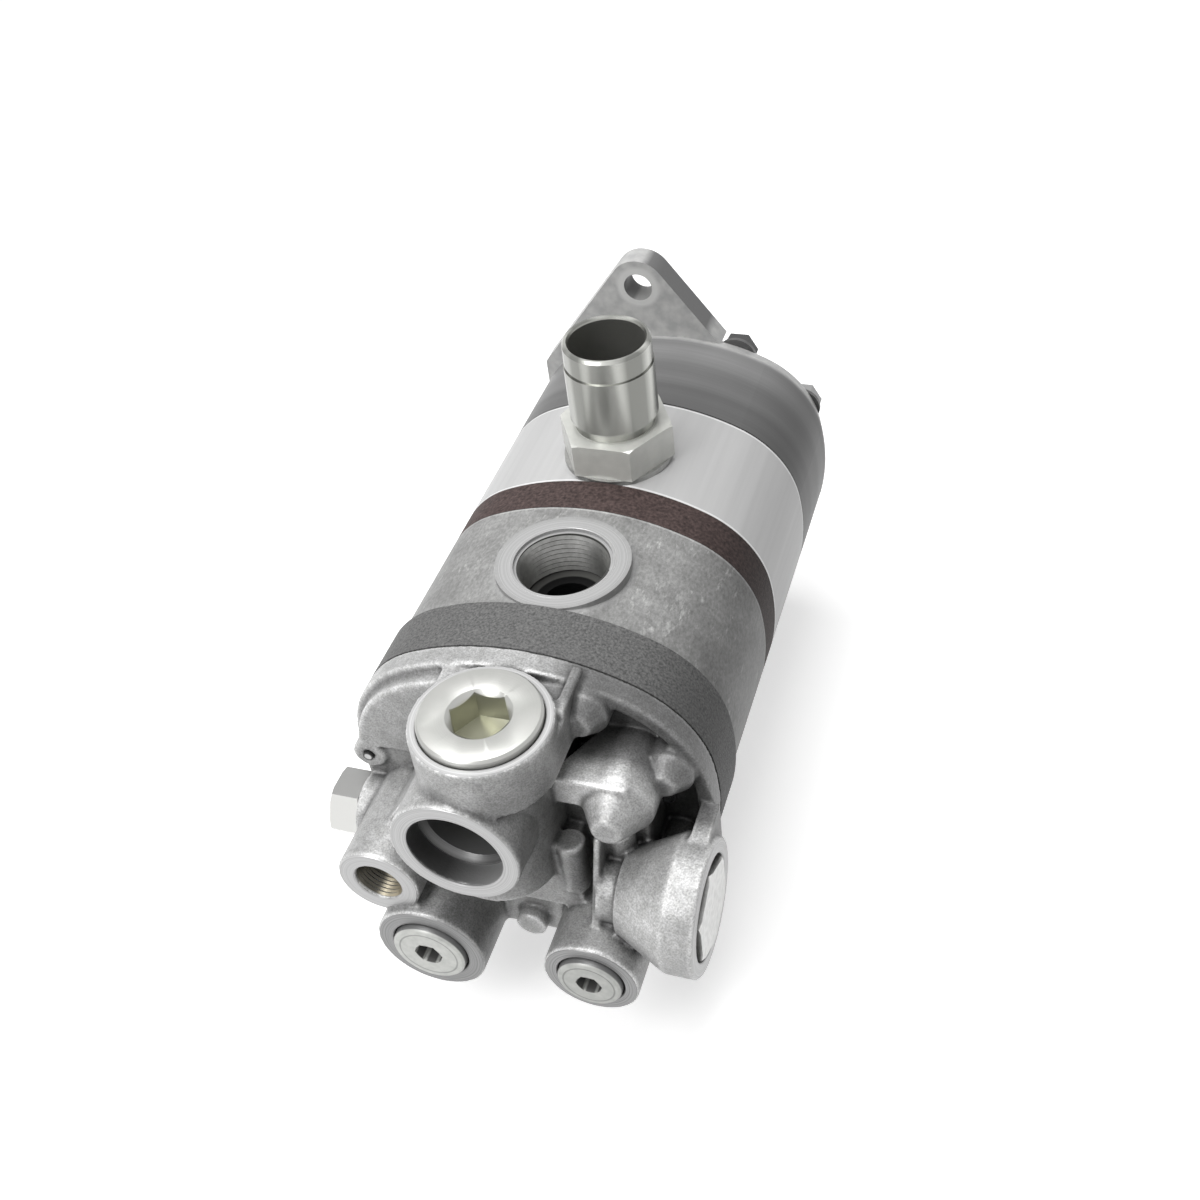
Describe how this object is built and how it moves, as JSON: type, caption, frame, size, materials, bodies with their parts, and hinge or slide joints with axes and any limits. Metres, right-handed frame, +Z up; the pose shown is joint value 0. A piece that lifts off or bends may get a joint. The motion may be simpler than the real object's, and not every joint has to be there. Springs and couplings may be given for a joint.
{
  "type": "tandem gear pump",
  "caption": "Tandem gear pump with a bolt-on flange, splined drive shaft, hose inlet, threaded ports and a rear cover with a priority valve and a relief valve.",
  "frame": {"origin": "centre of the mounting face on the drive shaft's axis", "axes": "+Y out of the mounting face along the drive shaft, +Z up the hose tail and the inlet port, +X towards the driven gears and the priority valve's cap"},
  "size_m": [0.1382, 0.2791, 0.1845],
  "materials": {
    "flange_metal": "turned, dark grey, with lighter cast ears",
    "front_aluminium": "satin",
    "brown_iron": "sand cast, brown-black",
    "rear_aluminium": "worn, fine scratches",
    "ring_iron": "coarse sand cast",
    "die_cast": "die cast, machined faces",
    "zinc_steel": "zinc plated",
    "pale_steel": "ground",
    "dark_steel": "phosphated",
    "bright_steel": "ground",
    "bush_bronze": "bearing bronze",
    "block_aluminium": "machined",
    "seal_metal": "soft metal sealing ring",
    "seal_rubber": "moulded"
  },
  "bodies": {
    "housing": {"mounting_flange": "flange_metal", "front_pump_body": "front_aluminium", "intermediate_plate": "brown_iron", "rear_pump_body": "rear_aluminium", "adapter_ring": "ring_iron", "rear_valve_cover": "die_cast", "front_bearing_block_near": "block_aluminium", "front_bearing_block_far": "block_aluminium", "rear_bearing_block_near": "block_aluminium", "rear_bearing_block_far": "block_aluminium", "shaft_seal": "seal_rubber", "seal_circlip": "dark_steel", "nose_bush": "bush_bronze", "flange_seal": "seal_rubber", "front_body_seal": "seal_rubber", "plate_seal": "seal_rubber", "rear_body_seal": "seal_rubber", "ring_seal": "seal_rubber", "hose_tail": "zinc_steel", "hose_tail_seal": "seal_metal", "top_plug": "zinc_steel", "top_plug_seal": "seal_metal", "relief_plug": "zinc_steel", "relief_plug_seal": "seal_metal", "gallery_plug": "zinc_steel", "gallery_plug_seal": "seal_metal", "left_hex_plug": "zinc_steel", "valve_cap": "pale_steel", "valve_cap_seal": "seal_metal", "spool_spring": "dark_steel", "relief_spring": "dark_steel", "through_bolts": "dark_steel", "bolt_washers": "dark_steel", "dowel_pins": "bright_steel", "rim_pin": "bright_steel"},
    "drive_line": {"front_drive_gear": "bright_steel", "coupling_sleeve": "bright_steel", "rear_drive_gear": "bright_steel"},
    "front_driven": {"front_driven_gear": "bright_steel"},
    "rear_driven": {"rear_driven_gear": "bright_steel"},
    "spool": {"priority_spool": "bright_steel"},
    "poppet": {"relief_poppet": "bright_steel"}
  },
  "joints": [
    {"name": "drive_spin", "type": "hinge", "parent": "housing", "child": "drive_line", "pos_m": [0, -0.08, 0], "axis": [0, 1, 0], "continuous": true},
    {"name": "front_driven_spin", "type": "hinge", "parent": "housing", "child": "front_driven", "pos_m": [0.028, -0.08, 0], "axis": [0, 1, 0], "continuous": true},
    {"name": "rear_driven_spin", "type": "hinge", "parent": "housing", "child": "rear_driven", "pos_m": [0.028, -0.15, 0], "axis": [0, 1, 0], "continuous": true},
    {"name": "spool_slide", "type": "slide", "parent": "housing", "child": "spool", "axis": [1, 0, 0], "range_m": [0, 0.004], "stiffness_N_per_m": 4000, "springref_m": -0.002, "deforming": ["spool_spring"]},
    {"name": "poppet_slide", "type": "slide", "parent": "housing", "child": "poppet", "axis": [0, -1, 0], "range_m": [0, 0.003], "stiffness_N_per_m": 6000, "springref_m": -0.002, "deforming": ["relief_spring"]}
  ],
  "couplings": [
    {"joint": "front_driven_spin", "follows": "drive_spin", "ratio": -1},
    {"joint": "rear_driven_spin", "follows": "drive_spin", "ratio": -1}
  ]
}
